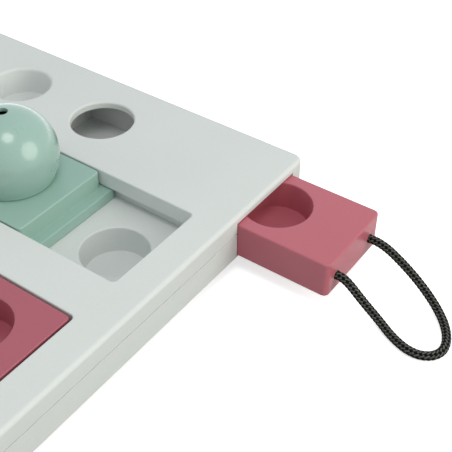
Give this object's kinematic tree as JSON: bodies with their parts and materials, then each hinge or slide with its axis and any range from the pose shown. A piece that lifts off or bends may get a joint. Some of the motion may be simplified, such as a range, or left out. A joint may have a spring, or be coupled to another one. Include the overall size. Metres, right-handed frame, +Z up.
{
  "type": "pet_puzzle_feeder",
  "caption": "Dog puzzle feeder board with dome-knobbed sliders, sliding cup tiles, pull-out drawers with a rope loop, treat bowls and rubber feet",
  "frame": {"origin": "the board's middle in plan, on the plane of the feet's undersides", "axes": "+X runs along the board in the direction the right drawer pulls out; +Y to the drawers' long edge, the rear; +Z up from the table"},
  "size_m": [0.5012, 0.23, 0.0735],
  "materials": {
    "board_plastic": "satin injection-moulded polypropylene, pale grey",
    "mint_plastic": "satin injection-moulded polypropylene, mint",
    "berry_plastic": "satin injection-moulded polypropylene, dusty pink",
    "foot_rubber": "moulded rubber",
    "screw_steel": "zinc-plated steel",
    "braided_cord": "braided polyester, black with grey-olive flecks"
  },
  "bodies": {
    "board": {"top_shell": "board_plastic", "bottom_shell": "board_plastic", "shell_screws": "screw_steel", "foot_rear_right": "foot_rubber", "foot_rear_left": "foot_rubber", "foot_front_right": "foot_rubber", "foot_front_left": "foot_rubber"},
    "slider_right": {"slider_right": "mint_plastic", "knob_right": "mint_plastic", "knob_screws_right": "screw_steel"},
    "slider_left": {"slider_left": "mint_plastic", "knob_left": "mint_plastic", "knob_screws_left": "screw_steel"},
    "tile_right": {"tile_right": "berry_plastic"},
    "tile_left": {"tile_left": "berry_plastic"},
    "drawer_right": {"drawer_right": "berry_plastic", "drawer_base_right": "berry_plastic", "drawer_screws_right": "screw_steel", "pull_cord": "braided_cord", "cord_knots": "braided_cord"},
    "drawer_left": {"drawer_left": "berry_plastic", "drawer_base_left": "berry_plastic", "drawer_screws_left": "screw_steel"}
  },
  "joints": [
    {"name": "slider_right_slide", "type": "slide", "parent": "board", "child": "slider_right", "axis": [1, 0, 0], "range_m": [-0.0158, 0.058]},
    {"name": "slider_left_slide", "type": "slide", "parent": "board", "child": "slider_left", "axis": [-1, 0, 0], "range_m": [-0.0158, 0.058]},
    {"name": "tile_right_slide", "type": "slide", "parent": "board", "child": "tile_right", "axis": [1, 0, 0], "range_m": [-0.0784, 0]},
    {"name": "tile_left_slide", "type": "slide", "parent": "board", "child": "tile_left", "axis": [-1, 0, 0], "range_m": [-0.0784, 0]},
    {"name": "drawer_right_slide", "type": "slide", "parent": "board", "child": "drawer_right", "axis": [1, 0, 0], "range_m": [-0.051, 0.062]},
    {"name": "drawer_left_slide", "type": "slide", "parent": "board", "child": "drawer_left", "axis": [-1, 0, 0], "range_m": [-0.051, 0.062]}
  ]
}
